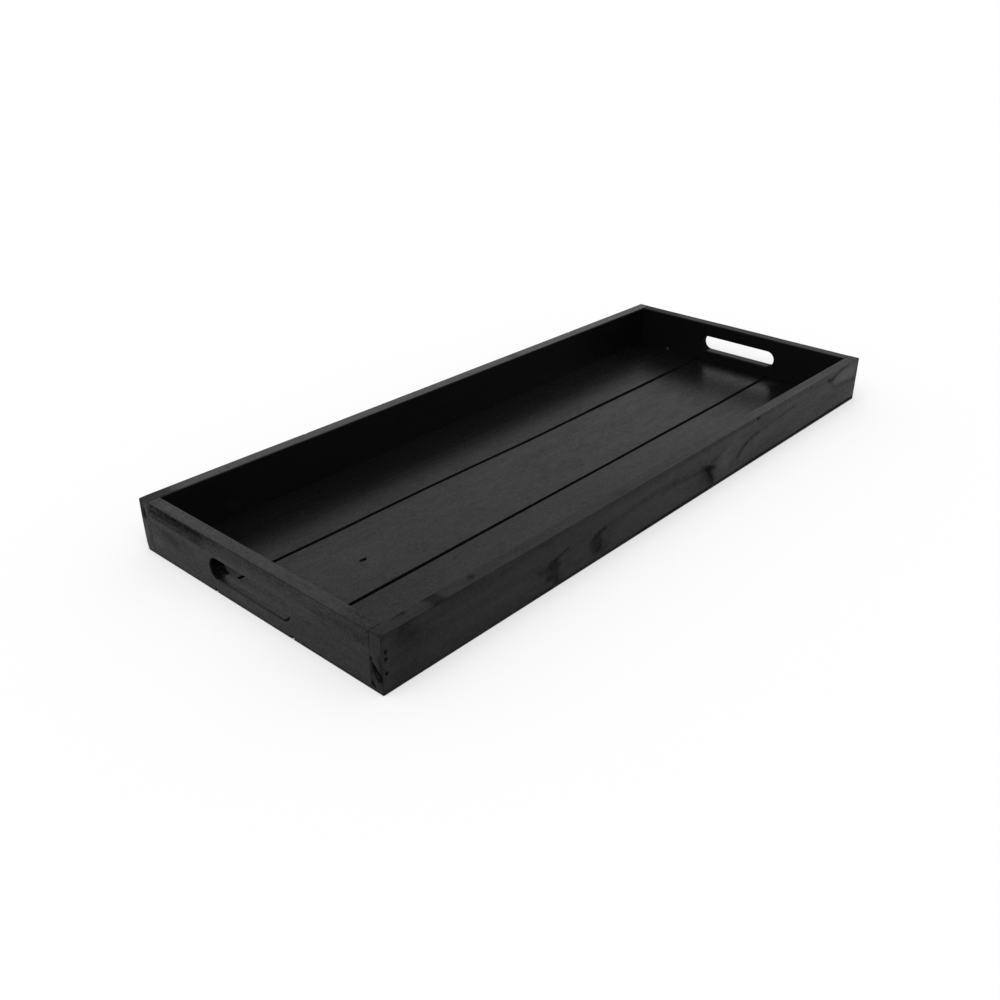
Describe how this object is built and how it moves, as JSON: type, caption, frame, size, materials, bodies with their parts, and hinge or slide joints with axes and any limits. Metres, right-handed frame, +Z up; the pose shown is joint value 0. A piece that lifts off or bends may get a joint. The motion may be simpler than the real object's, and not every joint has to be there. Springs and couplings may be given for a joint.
{
  "type": "serving tray",
  "caption": "Long shallow rectangular wooden tray with a hand slot through each short end and a floor of thin planks, for serving or display.",
  "frame": {"origin": "middle of the underside of the middle floor plank, on the surface that the tray stands on", "axes": "+X along the tray's length towards the right end board, +Y across it towards the back side board, +Z up"},
  "size_m": [0.7, 0.288, 0.0475],
  "materials": {
    "stained_frame_wood": "black wood stain with a satin gloss, through which the grain of softwood shows",
    "stained_floor_wood": "black wood stain with a satin gloss, on thin smooth planks with fine pores",
    "stained_nail_steel": "steel darkened by the stain brushed over it"
  },
  "bodies": {
    "root": {"front_side_board": "stained_frame_wood", "back_side_board": "stained_frame_wood", "left_end_board": "stained_frame_wood", "right_end_board": "stained_frame_wood", "front_floor_plank": "stained_floor_wood", "middle_floor_plank": "stained_floor_wood", "back_floor_plank": "stained_floor_wood", "corner_nails": "stained_nail_steel", "floor_nails": "stained_nail_steel"}
  },
  "joints": []
}
